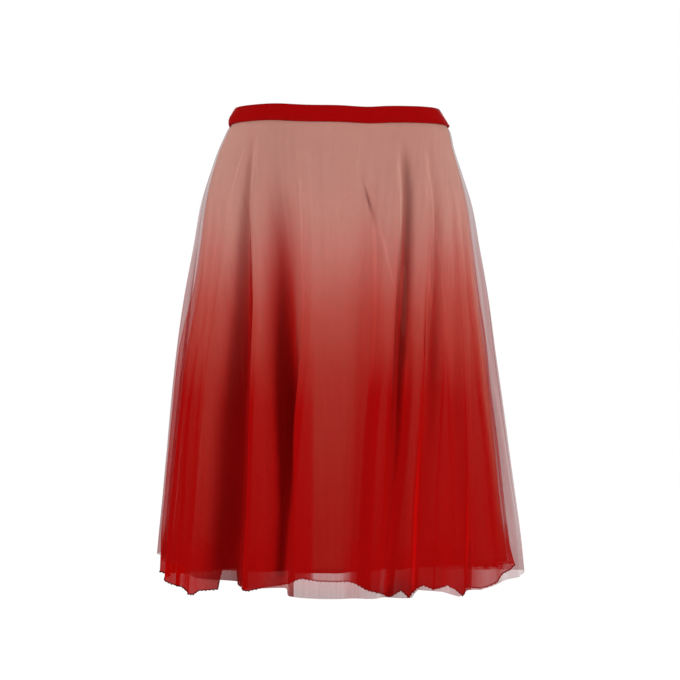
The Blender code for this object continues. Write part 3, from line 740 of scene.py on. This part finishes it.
def makeNet(name, dipDye, netMesh, seamLine):
    look = netLooks[name]
    material, tree, shader = newMaterial(name, roughness=0.8, gloss=0.0)
    dyed = dye(tree, dipDye, look)
    mesh = useGroup(tree, netMesh, Cell=look["cell"], Thread=netWeave["thread"],
                    Hole_Cover=netWeave["hole"], Streak=netWeave["streak"])
    seam = useGroup(tree, seamLine, Half_Width=netWeave["seam"])
    # painted light along the crease lines: the dyed colour is scaled up as a painted highlight where the
    # tone is positive and down as a painted shadow where it is negative
    creaseHighlightShade = addNode(tree, "ShaderNodeAttribute", attribute_name="creaseHighlightShade")
    paintedLightShade = calc(tree, "MULTIPLY_ADD", creaseHighlightShade.outputs["Fac"], look["creaseHighlightShadeStrength"], 1.0)
    tree.links.new(scaleColour(tree, dyed.outputs["Colour"], paintedLightShade), shader.inputs["Base Color"])
    # more cover where the net turns away from the eye, and a faint rim where it is seen edge on
    facing = addNode(tree, "ShaderNodeLayerWeight")
    facing.inputs["Blend"].default_value = 0.5
    slant = calc(tree, "POWER", facing.outputs["Facing"], netWeave["slant"])
    base = calc(tree, "MULTIPLY_ADD", slant, look["edgeCover"] - look["cover"], look["cover"])
    rim = spread(tree, facing.outputs["Facing"], *netWeave["rimFrom"], 0.0, look["rim"])
    # each further ply covers the same share of what still shows through
    plies = addNode(tree, "ShaderNodeAttribute", attribute_name="plies")
    pressed = calc(tree, "MULTIPLY", calc(tree, "ABSOLUTE", creaseHighlightShade.outputs["Fac"]), netWeave["pressed"])
    cover = calc(tree, "MULTIPLY", base, mesh.outputs["Cover"])
    threads = calc(tree, "MULTIPLY_ADD", cover, netWeave["strength"], rim)
    gaps = calc(tree, "MAXIMUM", calc(tree, "SUBTRACT", 1.0, threads), 0.0)
    clear = calc(tree, "POWER", gaps, calc(tree, "ADD", plies.outputs["Fac"], pressed))
    gathered = calc(tree, "SUBTRACT", 1.0, clear)
    seamed = calc(tree, "MULTIPLY", seam.outputs["Mask"], netWeave["seamCover"])
    sewn = calc(tree, "MAXIMUM", gathered, seamed)
    tree.links.new(calc(tree, "MINIMUM", sewn, netWeave["most"]), shader.inputs["Alpha"])
    return material


liningLook = {"waist": (0.66, 0.41, 0.335), "middle": (0.43, 0.13, 0.095), "hem": (0.30, 0.032, 0.024),
              "start": 0.10, "mid": 0.32, "deepen": 0.30, "end": 0.55, "pitch": 0.0007, "slub": 0.16,
              "seam": 0.0008, "hemFold": (0.0045, 0.0060), "fold": -0.35, "bump": 0.15}


def makeLining(dipDye, weave, seamLine):
    material, tree, shader = newMaterial("liningCrepe", roughness=0.7, gloss=0.03)
    dyed = dye(tree, dipDye, liningLook)
    cloth = useGroup(tree, weave, Pitch=liningLook["pitch"], Slub=liningLook["slub"])
    seam = useGroup(tree, seamLine, Half_Width=liningLook["seam"])
    place, around, up = readMap(tree, "place")
    hem = spread(tree, up, *liningLook["hemFold"], 1.0, 0.0)
    folded = calc(tree, "MAXIMUM", hem, seam.outputs["Mask"])
    dark = calc(tree, "MULTIPLY_ADD", folded, liningLook["fold"], 1.0)
    tone = calc(tree, "MULTIPLY", cloth.outputs["Tone"], dark)
    tree.links.new(scaleColour(tree, dyed.outputs["Colour"], tone), shader.inputs["Base Color"])
    addBump(tree, cloth.outputs["Height"], liningLook["bump"], shader)
    return material


bandLook = {"colour": (0.285, 0.0002, 0.0004), "pitch": 0.0005, "slub": 0.25, "rows": (0.0017, 0.0193),
            "rowHalf": (0.00025, 0.0005), "stitch": 0.0026, "between": (0.12, 0.2), "sewnTone": -0.22,
            "sewnDepth": -3.0, "bump": 0.35}


def makeBandCloth(weave):
    material, tree, shader = newMaterial("bandCloth", roughness=0.6, gloss=0.03)
    cloth = useGroup(tree, weave, Pitch=bandLook["pitch"], Slub=bandLook["slub"])
    place, around, up = readMap(tree, "place")
    # two rows of stitching, 1.7 mm in from each edge
    stitches = []
    for level in bandLook["rows"]:
        away = calc(tree, "ABSOLUTE", calc(tree, "SUBTRACT", up, level))
        row = spread(tree, away, *bandLook["rowHalf"], 1.0, 0.0)
        step = calc(tree, "FRACT", calc(tree, "DIVIDE", around, bandLook["stitch"]))
        stitches.append(calc(tree, "MULTIPLY", row, spread(tree, step, *bandLook["between"])))
    sewn = calc(tree, "MAXIMUM", stitches[0], stitches[1])
    sunk = calc(tree, "MULTIPLY_ADD", sewn, bandLook["sewnTone"], 1.0)
    tone = calc(tree, "MULTIPLY", cloth.outputs["Tone"], sunk)
    tree.links.new(scaleColour(tree, bandLook["colour"], tone), shader.inputs["Base Color"])
    height = calc(tree, "MULTIPLY_ADD", sewn, bandLook["sewnDepth"], cloth.outputs["Height"])
    addBump(tree, height, bandLook["bump"], shader)
    return material


wear = {"darker": 0.7, "from": 0.35, "full": 0.65}


def makePlain(name, colour, roughness, gloss, metallic, speckle):
    material, tree, shader = newMaterial(name, roughness, gloss)
    shader.inputs["Metallic"].default_value = metallic
    place = tree.nodes.new("ShaderNodeTexCoord")
    grain = addNode(tree, "ShaderNodeTexNoise")
    grain.inputs["Scale"].default_value = speckle
    tree.links.new(place.outputs["Object"], grain.inputs["Vector"])
    worn = tuple(c * wear["darker"] for c in colour)
    mottle = spread(tree, grain.outputs["Fac"], wear["from"], wear["full"])
    tree.links.new(blendColour(tree, mottle, tint(colour), tint(worn)), shader.inputs["Base Color"])
    return material


# The skirt

dipDye = buildDipDye()
netMesh = buildNetMesh()
seamLine = buildSeamLine()
weave = buildWeave()
looks = {"lining": makeLining(dipDye, weave, seamLine),
         "dyed_net": makeNet("dyedNet", dipDye, netMesh, seamLine),
         "outer_net": makeNet("outerNet", dipDye, netMesh, seamLine)}
threadLook = makePlain("edgingThread", (0.11, 0.001, 0.002), roughness=0.7, gloss=0.05, metallic=0.0,
                       speckle=900.0)
metalLook = makePlain("hookMetal", (0.60, 0.60, 0.62), roughness=0.32, gloss=0.5, metallic=1.0,
                      speckle=600.0)

band = hangBand()
band.data.materials.append(makeBandCloth(weave))
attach(band, "root")
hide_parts("waistband")
print("waistband done")

liningWall = 0.0007
for layer, word in ((liningLayer, "lining"), (dyedLayer, "dyedNet"), (outerLayer, "outerNet")):
    for side, place in panels.items():
        panel, hemLine = hangPanel(word + side, layer, place["span"])
        panel.data.materials.append(looks[layer["node"]])
        node = layer["node"] + place["node"]
        if word == "lining":
            wall = panel.modifiers.new("Wall", "SOLIDIFY")
            wall.thickness = liningWall
            wall.offset = 1.0
        if word == "dyedNet":
            trim = edgeHem("dyedNetEdging" + side, hemLine)
            trim.data.materials.append(threadLook)
            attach(trim, "root")
        panel.visible_shadow = word == "lining"  # fine net lets the light through
        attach(panel, "root")
        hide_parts(node)
    print(word, "done")

for node in ("waist_hook", "waist_bar"):
    closure = bpy.data.objects[node]
    closure.data.materials.clear()
    closure.data.materials.append(metalLook)
print("closure done")

# Floor, light and camera. A glow pair is its strength for other rays, then for what the camera sees.

studio = {"floorRadius": 9.0, "floorDrop": -1.0, "floorGlow": (0.08, 0.95), "skyGlow": (0.26, 1.0),
          "lens": 127.7, "sensor": 36.0, "cameraSpot": (0.0006, -3.1, -0.271)}
white = (1.0, 1.0, 1.0, 1.0)
grey = (0.25, 0.25, 0.25, 1.0)

floor = bmesh.new()
bmesh.ops.create_circle(floor, cap_ends=True, segments=96, radius=studio["floorRadius"])
bmesh.ops.translate(floor, vec=(0, 0, studio["floorDrop"]), verts=floor.verts)
floorMesh = bpy.data.meshes.new("floor")
floor.to_mesh(floorMesh)
floor.free()
floorPiece = link(bpy.data.objects.new("floor", floorMesh))
floorLook, floorTree, floorShader = newMaterial("paleFloor", roughness=0.9, gloss=0.1)
floorShader.inputs["Base Color"].default_value = grey
floorShader.inputs["Emission Color"].default_value = white
seen = floorTree.nodes.new("ShaderNodeLightPath")
glow = spread(floorTree, seen.outputs["Is Camera Ray"], 0.0, 1.0, *studio["floorGlow"], "LINEAR")
floorTree.links.new(glow, floorShader.inputs["Emission Strength"])
floorMesh.materials.append(floorLook)

world = bpy.data.worlds.new("studio")
bpy.context.scene.world = world
world.use_nodes = True
sky = world.node_tree
background = sky.nodes["Background"]
rays = sky.nodes.new("ShaderNodeLightPath")
background.inputs["Color"].default_value = white
bright = spread(sky, rays.outputs["Is Camera Ray"], 0.0, 1.0, *studio["skyGlow"], "LINEAR")
sky.links.new(bright, background.inputs["Strength"])


def softBox(name, spot, aim, size, power):
    lamp = bpy.data.lights.new(name, "AREA")
    lamp.shape = "RECTANGLE"
    lamp.size, lamp.size_y = size
    lamp.energy = power
    box = link(bpy.data.objects.new(name, lamp))
    box.location = spot
    away = np.array(aim) - np.array(spot)
    flat = math.hypot(away[0], away[1])
    box.rotation_euler = (math.atan2(flat, -away[2]), 0.0, math.atan2(away[1], away[0]) - math.pi / 2)


softBox("leftBox", spot=(-2.9, -1.5, 0.0), aim=(0, 0, -0.35), size=(1.1, 1.6), power=75)
softBox("rightBox", spot=(2.8, -1.6, -0.1), aim=(0, 0, -0.35), size=(1.1, 1.6), power=84)
softBox("frontBox", spot=(-0.9, -3.6, 0.9), aim=(0, 0, -0.3), size=(1.0, 1.0), power=20)
softBox("topBox", spot=(0.0, -1.2, 2.2), aim=(0, 0, -0.2), size=(1.6, 1.0), power=16)
softBox("backBox", spot=(0.0, 3.0, 0.8), aim=(0, 0, -0.3), size=(2.0, 1.6), power=80)

lens = bpy.data.cameras.new("camera")
lens.sensor_width = studio["sensor"]
lens.lens = studio["lens"]
camera = link(bpy.data.objects.new("camera", lens))
camera.location = studio["cameraSpot"]
camera.rotation_euler = (math.pi / 2, 0.0, 0.0)
bpy.context.scene.camera = camera
bpy.context.scene.view_settings.view_transform = "Standard"
bpy.context.scene.cycles.transparent_max_bounces = 24  # enough for all the net layers front and back
print("stage done")
